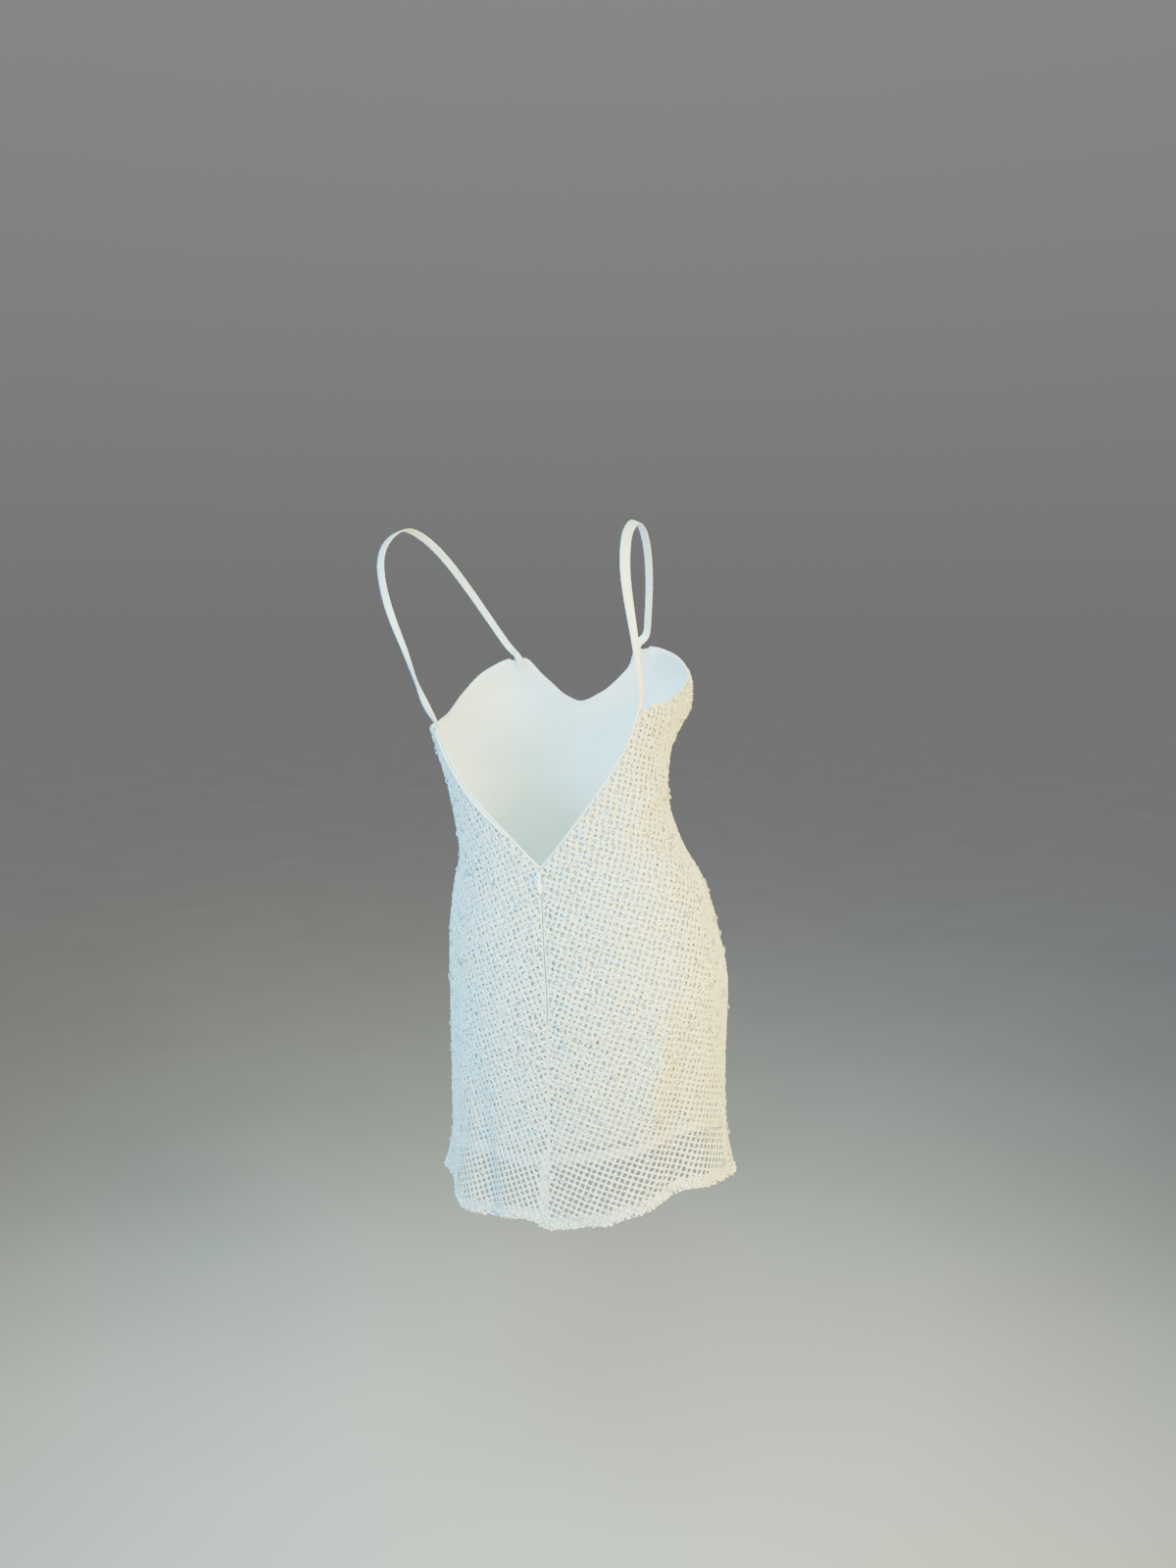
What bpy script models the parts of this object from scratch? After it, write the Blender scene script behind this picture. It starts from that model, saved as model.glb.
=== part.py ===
"""Cocktail dress, worn: a short slip dress of open net over a white lining.

Thin straps go over the shoulders to a deep V back with a short zip, and the lining stops
above the net's hem.

Frame: metres, +Z up. The wearer faces -Y, the wearer's left is +X. The origin lies midway
between the places where the two straps cross the tops of the shoulders.
Run: blender --background --python part.py
"""

import math

import bmesh
import bpy
import numpy as np
from mathutils import Matrix, Vector

# ---------------------------------------------------------------- driving sizes, metres

NET_WALL = 0.0012
LINING_WALL = 0.0010
LINING_INSET = 0.0036        # from the middle of the net to the middle of the lining
SEAM_INSET = 0.11            # degrees that each panel stops short of its seam
BODY_POWER = 2.2             # 2 gives an ellipse, more gives squarer sections
HIP_TILT = 0.085             # the wearer's right side stands higher than the left

EDGING_BAND = 0.013          # solid lower band of the lining's edging
EDGING_GAP = 0.0004

ROLL_RADIUS = 0.0015         # the lining turned over the net's top edges
ROLL_LIFT = 0.0022
ROLL_TRIM = 0.3              # degrees that a roll stops short of a side seam
ROLL_TRIM_V = 1.6            # and of the foot of the V, where two rolls meet at an angle

STRAP_WALL = 0.0012

ZIP_LENGTH = 0.170
ZIP_TAPE_WIDTH = 0.012
ZIP_TAPE_WALL = 0.0009
ZIP_TAPE_INSET = 0.0018

# Body sections, from the bust to the hem. The half width runs to each side, the depths run
# to the front and to the back of the centre.
SECTION_COLUMNS = ("height", "centre_x", "centre_y", "half_width", "front_depth", "back_depth")
SECTIONS = [
    (-0.12, -0.022, -0.016, 0.140, 0.098, 0.088),
    (-0.17, -0.027, -0.018, 0.147, 0.104, 0.092),
    (-0.22, -0.031, -0.019, 0.147, 0.102, 0.092),
    (-0.26, -0.034, -0.021, 0.140, 0.097, 0.090),
    (-0.30, -0.039, -0.024, 0.134, 0.093, 0.087),
    (-0.34, -0.043, -0.029, 0.132, 0.090, 0.086),
    (-0.38, -0.051, -0.034, 0.136, 0.092, 0.091),
    (-0.42, -0.058, -0.038, 0.152, 0.097, 0.101),
    (-0.48, -0.065, -0.040, 0.165, 0.103, 0.113),
    (-0.56, -0.073, -0.040, 0.172, 0.108, 0.122),
    (-0.64, -0.072, -0.040, 0.171, 0.112, 0.118),
    (-0.72, -0.071, -0.040, 0.172, 0.114, 0.115),
    (-0.81, -0.069, -0.040, 0.188, 0.118, 0.117),
]

# The two cups swell out of the front. Turns are degrees about the body: 0 at the centre
# back, positive towards the wearer's left, 180 at the centre front.
CUP_TURN = 137.0
CUP_SPREAD = 27.0
CUP_HEIGHT = -0.200
CUP_REACH = 0.060
CUP_SWELL = 0.060            # how far the cup fades out above its middle
CUP_FALL = 0.072             # and below it, where it stays full for longer
CUP_FALL_POWER = 2.7

# Folds and creases: each runs from its top to its foot, as a ridge (depth above 0) or a trough.
FOLD_COLUMNS = ("top", "foot", "top_turn", "foot_turn", "spread", "depth")
FOLDS = [
    (-0.66, -0.84, 70.0, 67.0, 8.0, -0.012),      # hem tucked under at the left side
    (-0.70, -0.84, 92.0, 94.0, 9.0, 0.005),       # hem flare at the left
    (-0.50, -0.76, -57.0, -47.0, 7.0, 0.009),     # long ridge down the right back
    (-0.56, -0.80, -66.0, -62.0, 6.5, -0.008),    # trough beside it
    (-0.56, -0.78, -80.0, -96.0, 6.0, 0.005),     # side fold, right
    (-0.56, -0.80, 50.0, 36.0, 6.0, -0.008),      # long trough, left back
    (-0.34, -0.43, -58.0, -106.0, 10.0, -0.005),  # hollow below the right waist
    (-0.27, -0.37, -108.0, -50.0, 7.0, 0.004),    # crease above the right waist
    (-0.58, -0.82, 150.0, 158.0, 9.0, -0.004),    # front folds
    (-0.62, -0.82, -150.0, -142.0, 10.0, -0.004),
]

# Edges of the cloth: a height for each turn.
EDGE_COLUMNS = ("turn", "height")
BACK_LEFT_TOP = [
    (0.0, -0.396), (14.0, -0.372), (34.0, -0.336), (47.0, -0.309), (55.0, -0.284),
    (61.0, -0.256), (65.0, -0.229), (72.0, -0.227), (90.0, -0.224),
]
BACK_RIGHT_TOP = [
    (-90.0, -0.218), (-77.0, -0.221), (-70.5, -0.224), (-67.5, -0.250), (-60.0, -0.281),
    (-48.0, -0.314), (-34.0, -0.344), (-17.0, -0.371), (0.0, -0.396),
]
FRONT_TOP = [
    (90.0, -0.224), (104.0, -0.214), (118.0, -0.191), (130.0, -0.163), (140.0, -0.152),
    (146.0, -0.152), (156.0, -0.178), (168.0, -0.204), (180.0, -0.213), (192.0, -0.204),
    (204.0, -0.178), (214.0, -0.152), (220.0, -0.152), (230.0, -0.162), (242.0, -0.190),
    (256.0, -0.209), (270.0, -0.218),
]
BACK_LEFT_HEM = [
    (0.0, -0.812), (3.5, -0.811), (7.0, -0.805), (17.0, -0.804), (29.0, -0.806),
    (41.0, -0.809), (49.5, -0.809), (56.0, -0.803), (64.0, -0.791), (74.0, -0.782),
    (90.0, -0.783),
]
BACK_RIGHT_HEM = [
    (-90.0, -0.783), (-78.0, -0.778), (-66.0, -0.775), (-58.0, -0.783), (-50.0, -0.792),
    (-42.0, -0.797), (-33.0, -0.805), (-24.0, -0.807), (-7.0, -0.812), (0.0, -0.813),
]
FRONT_HEM = [
    (90.0, -0.783), (115.0, -0.790), (145.0, -0.798), (180.0, -0.800), (215.0, -0.797),
    (245.0, -0.789), (270.0, -0.783),
]
LINING_HEM = [
    (-90.0, -0.725), (-71.0, -0.713), (-62.0, -0.715), (-46.0, -0.728), (-23.0, -0.735),
    (0.0, -0.740), (18.0, -0.744), (37.0, -0.739), (58.0, -0.742), (90.0, -0.744),
    (140.0, -0.740), (180.0, -0.736), (220.0, -0.732), (270.0, -0.725),
]

# Panels: the turns of their seams and corners, the strips between two of those, and their
# top edge and hem.
PANEL_COLUMNS = ("name", "corners", "strips", "top", "hem")
PANELS = [
    ("back_left", (0.0, 65.0, 72.0, 90.0), (10, 1, 3), BACK_LEFT_TOP, BACK_LEFT_HEM),
    ("back_right", (-90.0, -77.0, -70.5, 0.0), (2, 1, 10), BACK_RIGHT_TOP, BACK_RIGHT_HEM),
    ("front", (90.0, 140.0, 146.0, 214.0, 220.0, 270.0), (7, 1, 9, 1, 7), FRONT_TOP, FRONT_HEM),
]
HEM_ROWS = 2                 # rows of the net below the lining's cloth
BODY_ROWS = 14               # rows from there to the top edge, in the net and the lining
ROW_CROWDING = 0.25          # how much closer the rows stand at the bust than at the hips

# Rolls along the top edges: the panel, and the first and last corner that each runs between.
ROLL_COLUMNS = ("name", "panel", "from_corner", "to_corner")
ROLLS = [
    ("edge_roll_v_left", "back_left", 0, 1),
    ("edge_roll_v_right", "back_right", 2, 3),
    ("edge_roll_armhole_left_back", "back_left", 2, 3),
    ("edge_roll_armhole_right_back", "back_right", 0, 1),
    ("edge_roll_armhole_left_front", "front", 0, 1),
    ("edge_roll_neck", "front", 2, 3),
    ("edge_roll_armhole_right_front", "front", 4, 5),
]

# Straps: the middle line from the sewn end at the back, over the shoulder, to the front.
# The lean is the ribbon's turn about its own line, 0 when it lies flat on the body.
STRAP_COLUMNS = ("x", "y", "z", "width", "lean")
STRAP_LEFT = [
    (0.0960, 0.0460, -0.208, 0.0080, 25.0),
    (0.1050, 0.0550, -0.178, 0.0070, -15.0),
    (0.1160, 0.0605, -0.142, 0.0070, 15.0),
    (0.1305, 0.0630, -0.105, 0.0080, 28.0),
    (0.1430, 0.0600, -0.070, 0.0090, 10.0),
    (0.1515, 0.0500, -0.038, 0.0095, 10.0),
    (0.1535, 0.0290, -0.014, 0.0100, 12.0),
    (0.1475, 0.0000, 0.000, 0.0100, 8.0),
    (0.1380, -0.0300, -0.008, 0.0100, 0.0),
    (0.1240, -0.0590, -0.032, 0.0095, 0.0),
    (0.1060, -0.0880, -0.070, 0.0090, 0.0),
    (0.0850, -0.1130, -0.113, 0.0085, 0.0),
    (0.0710, -0.1245, -0.138, 0.0085, 0.0),
]
STRAP_RIGHT = [
    (-0.1650, 0.0280, -0.186, 0.0070, 15.0),
    (-0.1645, 0.0380, -0.158, 0.0070, 10.0),
    (-0.1625, 0.0465, -0.126, 0.0080, 0.0),
    (-0.1590, 0.0530, -0.093, 0.0095, 0.0),
    (-0.1550, 0.0540, -0.062, 0.0105, 0.0),
    (-0.1515, 0.0455, -0.034, 0.0110, 0.0),
    (-0.1480, 0.0270, -0.013, 0.0110, 0.0),
    (-0.1470, 0.0000, 0.000, 0.0110, 0.0),
    (-0.1455, -0.0300, -0.007, 0.0105, 0.0),
    (-0.1410, -0.0600, -0.030, 0.0100, 0.0),
    (-0.1335, -0.0880, -0.064, 0.0095, 0.0),
    (-0.1235, -0.1135, -0.103, 0.0090, 0.0),
    (-0.1170, -0.1250, -0.125, 0.0090, 0.0),
]
# Where each sewn end passes the dress's edge, and its foot inside: turn, height, and how far
# in from the middle of the net.
STRAP_ENDS = {
    "strap_left": (((68.5, -0.229, 0.0072), (68.5, -0.241, 0.0072)),
                   ((142.5, -0.147, 0.0085), (145.0, -0.161, 0.0095))),
    "strap_right": (((-73.5, -0.224, 0.0072), (-73.5, -0.236, 0.0072)),
                    ((217.5, -0.147, 0.0085), (215.0, -0.161, 0.0095))),
}
STRAP_STEPS = 3              # short ribbon lengths between two table rows
# The rounded body that the straps lie on: its middle and its half sizes.
SHOULDER_MIDDLE = np.array([-0.01, -0.02, -0.17])
SHOULDER_SIZE = np.array([0.24, 0.12, 0.17])

# Zip slider and pull, in the slider's own frame: X across, Y off the cloth, Z up the seam.
SLIDER_DROP = 0.006          # from the foot of the V to the slider's middle
SLIDER_SIZE = (0.0062, 0.0024, 0.0090)
SLIDER_ROUND = 0.0009
SLIDER_CLEAR = 0.0012        # from the middle of the net to the slider's underside
BAIL_RADIUS = 0.0006         # the arch that holds the pull
BAIL_HALF = 0.0029
BAIL_RISE = 0.0032
PIVOT_RISE = 0.0012          # from the slider's face to the pull's turning line
PULL_WALL = 0.0010
PULL_TILT = 3.0              # degrees that the hanging pull leans in towards the cloth
# The pull's outline: how far below the turning line, and half its width there.
PULL_COLUMNS = ("below", "half")
PULL_OUTLINE = [
    (-0.0006, 0.0016), (-0.0002, 0.0023), (0.0045, 0.0024), (0.0075, 0.0019),
    (0.0130, 0.0023), (0.0165, 0.0026), (0.0190, 0.0022), (0.0208, 0.0011), (0.0215, 0.0003),
]
PULL_EYE = [(0.0004, 0.0013), (0.0045, 0.0013)]

# ---------------------------------------------------------------- materials

MATERIAL_COLUMNS = ("colour", "roughness", "metallic")
MATERIALS = {
    "net": ((0.80, 0.79, 0.74), 0.55, 0.0),
    "lining": ((0.88, 0.88, 0.86), 0.45, 0.0),
    "satin": ((0.90, 0.90, 0.88), 0.35, 0.0),
    "zip": ((0.86, 0.85, 0.82), 0.40, 0.0),
}


def material(name):
    """The named Principled material, made the first time it is asked for."""
    found = bpy.data.materials.get(name)
    if found:
        return found
    colour, roughness, metallic = MATERIALS[name]
    made = bpy.data.materials.new(name)
    made.use_nodes = True
    shader = made.node_tree.nodes["Principled BSDF"]
    shader.inputs["Base Color"].default_value = (*colour, 1.0)
    shader.inputs["Roughness"].default_value = roughness
    shader.inputs["Metallic"].default_value = metallic
    return made


# ---------------------------------------------------------------- curves through tables

def smooth(rows, column, at):
    """Read one column of a table at any place in its first column, without overshoot."""
    table = np.array(sorted(rows))
    place = table[:, 0]
    value = table[:, column]
    step = np.diff(place)
    slope = np.diff(value) / step
    bend = np.zeros(len(place))
    bend[0] = slope[0]
    bend[-1] = slope[-1]
    for row in range(1, len(place) - 1):
        before = slope[row - 1]
        after = slope[row]
        if before * after > 0.0:
            heavy = 2.0 * step[row] + step[row - 1]
            light = step[row] + 2.0 * step[row - 1]
            bend[row] = (heavy + light) / (heavy / before + light / after)
    at = np.clip(at, place[0], place[-1])
    row = np.clip(np.searchsorted(place, at) - 1, 0, len(step) - 1)
    part = (at - place[row]) / step[row]
    ease = part * part * (3.0 - 2.0 * part)
    lead = part * (1.0 - part) ** 2 * step[row] * bend[row]
    trail = part * part * (part - 1.0) * step[row] * bend[row + 1]
    return (1.0 - ease) * value[row] + ease * value[row + 1] + lead + trail


def spline(rows, steps):
    """Catmull-Rom points through the rows, with `steps` lengths between two rows."""
    table = np.array(rows)
    ends = np.vstack([2.0 * table[0] - table[1], table, 2.0 * table[-1] - table[-2]])
    points = []
    for row in range(1, len(ends) - 2):
        before, start, end, after = ends[row - 1:row + 3]
        for part in np.arange(steps) / steps:
            points.append(0.5 * (
                2.0 * start
                + (end - before) * part
                + (2.0 * before - 5.0 * start + 4.0 * end - after) * part ** 2
                + (3.0 * start - before - 3.0 * end + after) * part ** 3))
    points.append(ends[-2])
    return np.array(points)


def turn_from(turn, middle):
    """Shortest way round, in degrees, from the middle to the turn."""
    return (turn - middle + 180.0) % 360.0 - 180.0


# ---------------------------------------------------------------- the dress's form

def fold_swell(turn, height):
    """How far the folds move the cloth out at this turn and height."""
    swell = 0.0
    for top, foot, top_turn, foot_turn, spread, depth in FOLDS:
        along = np.clip((top - height) / (top - foot), 0.0, 1.0)
        middle = top_turn + (foot_turn - top_turn) * along
        if foot < -0.76:
            fade = np.sin(0.5 * math.pi * along) ** 2
        else:
            fade = np.sin(math.pi * along) ** 2
        swell = swell + depth * fade * np.exp(-(turn_from(turn, middle) / spread) ** 2)
    return swell


def cloth_point(turn, height, out=0.0):
    """The point of the dress at a turn and a height, moved `out` from the net's middle."""
    turn, height = np.broadcast_arrays(np.asarray(turn, float), np.asarray(height, float))
    centre_x, centre_y, half_width, front, back = (
        smooth(SECTIONS, column, height) for column in range(1, len(SECTION_COLUMNS)))
    sine = np.sin(np.radians(turn))
    cosine = np.cos(np.radians(turn))
    depth = np.where(cosine > 0.0, back, front)
    across = np.abs(sine / half_width) ** BODY_POWER
    along = np.abs(cosine / depth) ** BODY_POWER
    radius = (across + along) ** (-1.0 / BODY_POWER)
    rise = height - CUP_HEIGHT
    cup_fade = np.exp(-np.where(rise > 0.0, np.abs(rise / CUP_SWELL) ** 2,
                                np.abs(rise / CUP_FALL) ** CUP_FALL_POWER))
    for side in (-1.0, 1.0):
        near = turn_from(turn, side * CUP_TURN) / CUP_SPREAD
        radius = radius + CUP_REACH * cup_fade * np.exp(-near ** 2)
    radius = radius + fold_swell(turn, height) + out
    x = centre_x + radius * sine
    y = centre_y + radius * cosine
    return np.stack([x, y, height - HIP_TILT * x], axis=-1)


def cloth_frame(turn, height, out=0.0):
    """A matrix on the cloth: X towards the wearer's left, Y off the cloth, Z up it."""
    place = Vector(cloth_point(turn, height, out))
    ahead = Vector(cloth_point(turn + 0.5, height, out)) - place
    above = Vector(cloth_point(turn, height + 0.004, out)) - place
    z_axis = above.normalized()
    y_axis = z_axis.cross(ahead).normalized()
    x_axis = y_axis.cross(z_axis)
    frame = Matrix((x_axis, y_axis, z_axis)).transposed().to_4x4()
    frame.translation = place
    return frame


# ---------------------------------------------------------------- building blocks

def clear_scene():
    for old in list(bpy.data.objects):
        bpy.data.objects.remove(old, do_unlink=True)


def add_object(name, data, collection, material_name):
    made = bpy.data.objects.new(name, data)
    data.materials.append(material(material_name))
    collection.objects.link(made)
    return made


def shell(name, grid, wall, collection, material_name):
    """An open sheet through a grid of points, given its wall by Solidify."""
    rows, columns = grid.shape[:2]
    faces = []
    for row in range(rows - 1):
        for column in range(columns - 1):
            corner = row * columns + column
            faces.append((corner, corner + columns, corner + columns + 1, corner + 1))
    mesh = bpy.data.meshes.new(name)
    mesh.from_pydata([tuple(point) for point in grid.reshape(-1, 3)], [], faces)
    mesh.shade_smooth()
    made = add_object(name, mesh, collection, material_name)
    solidify = made.modifiers.new("wall", "SOLIDIFY")
    solidify.thickness = wall
    solidify.offset = 0.0
    solidify.use_even_offset = True
    return made


def panel_turns(corners, strips):
    """The turns of a panel's columns: even between its corners, and clear of its seams."""
    stops = [corners[0] + SEAM_INSET, *corners[1:-1], corners[-1] - SEAM_INSET]
    turns = [stops[0]]
    for start, end, count in zip(stops, stops[1:], strips):
        turns.extend(np.linspace(start, end, count + 1)[1:])
    return np.array(turns)


def rows_between(low, high, rows, crowding=0.0):
    """Heights of the rows from one edge up to another, a column for each turn."""
    share = np.linspace(0.0, 1.0, rows + 1)[:, None]
    share = share * (1.0 + crowding * (1.0 - share))
    return low + (high - low) * share


def cloth_hem(turn):
    """Where the lining's own cloth ends, just above its edging."""
    return smooth(LINING_HEM, 1, turn) + EDGING_BAND + EDGING_GAP


def tube(name, points, radius, collection, material_name):
    """A round roll along points, as a bevelled curve with filled caps."""
    data = bpy.data.curves.new(name, "CURVE")
    data.dimensions = "3D"
    data.bevel_depth = radius
    data.bevel_resolution = 1
    data.use_fill_caps = True
    line = data.splines.new("POLY")
    line.points.add(len(points) - 1)
    for slot, point in zip(line.points, points):
        slot.co = (*point, 1.0)
    return add_object(name, data, collection, material_name)


# ---------------------------------------------------------------- the sewn pieces

def net_panels(collection):
    for name, corners, strips, top, hem in PANELS:
        turns = panel_turns(corners, strips)
        line = cloth_hem(turns)
        low = rows_between(smooth(hem, 1, turns), line, HEM_ROWS)
        body = rows_between(line, smooth(top, 1, turns), BODY_ROWS, ROW_CROWDING)
        shell(name, cloth_point(turns, np.vstack([low, body[1:]])), NET_WALL, collection, "net")


def lining_panels(collection):
    """The lining behind each net panel, and the edging sewn along its hem."""
    for name, corners, strips, top, _ in PANELS:
        turns = panel_turns(corners, strips)
        body = rows_between(cloth_hem(turns), smooth(top, 1, turns), BODY_ROWS, ROW_CROWDING)
        shell("lining_" + name, cloth_point(turns, body, -LINING_INSET), LINING_WALL,
              collection, "lining")
        foot = smooth(LINING_HEM, 1, turns)
        band = rows_between(foot, foot + EDGING_BAND, 1)
        shell("lining_edging_" + name, cloth_point(turns, band, -LINING_INSET), LINING_WALL,
              collection, "lining")


def edge_rolls(collection):
    """The lining turned over the net along the V, the armholes and the neck."""
    panels = {row[0]: row for row in PANELS}
    for name, panel, first, last in ROLLS:
        _, corners, strips, top, _ = panels[panel]
        turns = panel_turns(corners, strips)
        turns = turns[sum(strips[:first]):sum(strips[:last]) + 1]
        turns[0] += ROLL_TRIM_V if corners[first] == 0.0 else ROLL_TRIM
        turns[-1] -= ROLL_TRIM_V if corners[last] == 0.0 else ROLL_TRIM
        heights = smooth(top, 1, turns)
        points = cloth_point(turns, heights, -0.5 * LINING_INSET)
        off_cloth = cloth_point(turns, heights, 0.5 * LINING_INSET) - points
        up_cloth = np.cross(off_cloth, np.gradient(points, axis=0))
        up_cloth *= np.sign(up_cloth[:, 2:])
        up_cloth /= np.linalg.norm(up_cloth, axis=1)[:, None]
        tube(name, points + ROLL_LIFT * up_cloth, ROLL_RADIUS, collection, "lining")


def body_away(place, lean, along):
    """The way a strap faces off a rounded body, turned by its lean about its own line."""
    away = (place - SHOULDER_MIDDLE) / SHOULDER_SIZE ** 2
    return Matrix.Rotation(math.radians(lean), 3, Vector(along)) @ Vector(away).normalized()


def strap(name, rows, collection):
    """A flat ribbon from its sewn end at the back to its sewn end at the front."""
    free = np.array(rows)
    along = np.gradient(free[:, :3], axis=0)
    table = [(*row[:4], *body_away(row[:3], row[4], line)) for row, line in zip(free, along)]
    for spots, row in zip(STRAP_ENDS[name], (0, -1)):
        for turn, height, inset in spots:
            frame = cloth_frame(turn, height, -inset)
            sewn = (*frame.translation, free[row, 3], *frame.col[1][:3])
            table.insert(0 if row == 0 else len(table), sewn)
    points = spline(table, STRAP_STEPS)
    middle = points[:, :3]
    across = np.cross(np.gradient(middle, axis=0), points[:, 4:])
    across /= np.linalg.norm(across, axis=1)[:, None]
    half = 0.5 * points[:, 3:4]
    grid = np.stack([middle - across * half, middle + across * half], axis=0)
    shell(name, grid, STRAP_WALL, collection, "satin")


def straps(collection):
    strap("strap_left", STRAP_LEFT, collection)
    strap("strap_right", STRAP_RIGHT, collection)


# ---------------------------------------------------------------- the zip

def zip_tape(collection):
    """The closed zip behind the centre back seam, between the net and the lining."""
    heights = np.linspace(BACK_LEFT_TOP[0][1] - 0.002, BACK_LEFT_TOP[0][1] - ZIP_LENGTH, 13)
    half_turn = math.degrees(0.5 * ZIP_TAPE_WIDTH / 0.092)
    turns = np.array([-half_turn, 0.0, half_turn])
    grid = cloth_point(turns[None, :], heights[::-1, None], -ZIP_TAPE_INSET)
    shell("zip_tape", grid, ZIP_TAPE_WALL, collection, "zip")


def slider_frame():
    return cloth_frame(0.0, BACK_LEFT_TOP[0][1] - SLIDER_DROP)


def zip_slider(collection):
    """The slider's body with the arch that holds the pull, joined into one solid."""
    width, thick, tall = SLIDER_SIZE
    middle = SLIDER_CLEAR + 0.5 * thick
    bpy.ops.mesh.primitive_cube_add(size=1.0)
    body = bpy.context.object
    body.name = "zip_slider"
    body.data.name = "zip_slider"
    body.data.transform(Matrix.Translation((0.0, middle, 0.0))
                        @ Matrix.Diagonal((width, thick, tall, 1.0)))
    for other in list(body.users_collection):
        other.objects.unlink(body)
    collection.objects.link(body)
    body.data.materials.append(material("zip"))
    body.matrix_world = slider_frame()
    bevel = body.modifiers.new("round", "BEVEL")
    bevel.width = SLIDER_ROUND
    bevel.segments = 2

    face = SLIDER_CLEAR + thick
    data = bpy.data.curves.new("bail", "CURVE")
    data.dimensions = "3D"
    data.bevel_depth = BAIL_RADIUS
    data.bevel_resolution = 1
    data.use_fill_caps = True
    line = data.splines.new("POLY")
    angles = np.linspace(0.0, math.pi, 9)
    line.points.add(len(angles) + 1)
    arch = [(0.0, face - 0.0008, BAIL_HALF)]
    arch += [(0.0, face + BAIL_RISE * math.sin(angle), BAIL_HALF * math.cos(angle))
             for angle in angles]
    arch += [(0.0, face - 0.0008, -BAIL_HALF)]
    for slot, point in zip(line.points, arch[:len(line.points)]):
        slot.co = (*point, 1.0)
    guide = bpy.data.objects.new("bail_curve", data)
    collection.objects.link(guide)
    bpy.context.view_layer.update()
    mesh = bpy.data.meshes.new_from_object(
        guide.evaluated_get(bpy.context.evaluated_depsgraph_get()))
    weld(mesh)
    bail = bpy.data.objects.new("bail", mesh)
    bail.matrix_world = body.matrix_world
    bpy.data.objects.remove(guide, do_unlink=True)
    cutters().objects.link(bail)
    bail.hide_render = True
    bail.display_type = "WIRE"
    union = body.modifiers.new("bail", "BOOLEAN")
    union.operation = "UNION"
    union.object = bail
    return body


def weld(mesh):
    """Join the loose caps of a curve's mesh to its wall."""
    work = bmesh.new()
    work.from_mesh(mesh)
    bmesh.ops.remove_doubles(work, verts=work.verts, dist=0.00001)
    work.to_mesh(mesh)
    work.free()


def cutters():
    """The collection for shapes that only cut or join others."""
    found = bpy.data.collections.get("joined shapes")
    if found:
        return found
    made = bpy.data.collections.new("joined shapes")
    bpy.context.scene.collection.children.link(made)
    return made


def pivot_frame():
    """The pull's frame: its origin lies on the turning line and X runs along it."""
    face = SLIDER_CLEAR + SLIDER_SIZE[1]
    return (slider_frame()
            @ Matrix.Translation((0.0, face + PIVOT_RISE, 0.0))
            @ Matrix.Rotation(math.radians(-PULL_TILT), 4, "X"))


def zip_pull(collection):
    """The drop-shaped pull, hanging from the arch, with its eye cut right through."""
    data = bpy.data.curves.new("zip_pull", "CURVE")
    data.dimensions = "2D"
    data.fill_mode = "BOTH"
    data.extrude = 0.5 * PULL_WALL
    for outline in (PULL_OUTLINE, PULL_EYE):
        left = [(-half, -below) for below, half in outline]
        right = [(half, -below) for below, half in reversed(outline)]
        line = data.splines.new("POLY")
        line.points.add(len(left) + len(right) - 1)
        line.use_cyclic_u = True
        for slot, (x, y) in zip(line.points, left + right):
            slot.co = (x, y, 0.0, 1.0)
    pull = add_object("zip_pull", data, collection, "zip")
    # The outline is drawn in the curve's XY plane, which stands up as the frame's XZ plane.
    pull.matrix_world = pivot_frame() @ Matrix.Rotation(math.radians(90.0), 4, "X")
    return pull


# ---------------------------------------------------------------- assembly

def main():
    clear_scene()
    dress = bpy.data.collections.new("cocktail_dress")
    bpy.context.scene.collection.children.link(dress)
    net_panels(dress)
    lining_panels(dress)
    edge_rolls(dress)
    straps(dress)
    zip_tape(dress)
    zip_slider(dress)
    zip_pull(dress)


main()
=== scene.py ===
"""Looks of the cocktail dress: beaded net over a satin lining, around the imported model.

The form of the cloth repeats the tables and functions that the solids were built from, in
metres and in the same frame: +Z up, the wearer faces -Y, the wearer's left is +X.
"""

import math

import bpy
import numpy as np
from mathutils import Matrix, Vector


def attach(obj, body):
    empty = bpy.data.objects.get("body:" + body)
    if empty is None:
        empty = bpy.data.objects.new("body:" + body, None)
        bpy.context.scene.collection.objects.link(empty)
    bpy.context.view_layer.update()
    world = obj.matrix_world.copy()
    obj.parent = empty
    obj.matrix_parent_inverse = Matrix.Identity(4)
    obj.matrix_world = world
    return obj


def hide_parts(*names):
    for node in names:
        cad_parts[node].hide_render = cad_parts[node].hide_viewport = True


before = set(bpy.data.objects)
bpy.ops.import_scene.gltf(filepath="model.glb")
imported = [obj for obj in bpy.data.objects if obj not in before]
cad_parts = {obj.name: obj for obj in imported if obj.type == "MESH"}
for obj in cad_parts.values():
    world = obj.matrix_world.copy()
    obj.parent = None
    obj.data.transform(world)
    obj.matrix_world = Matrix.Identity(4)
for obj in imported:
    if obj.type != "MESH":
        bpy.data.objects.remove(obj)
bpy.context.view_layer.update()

# ---------------------------------------------------------------- the dress's form

LINING_INSET = 0.0031        # from the middle of the net to the middle of the lining
ZIP_ROOM = 0.0013            # how much further in it lies behind the zip's tapes
ZIP_ROOM_TURN = 6.0
ZIP_ROOM_FOOT = -0.575
ROLL_INSET = 0.0018          # from the middle of the net to the middle of an edge roll
SEAM_INSET = 0.11            # degrees that each panel stops short of its seam
BODY_POWER = 2.2
HIP_TILT = 0.085

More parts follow.
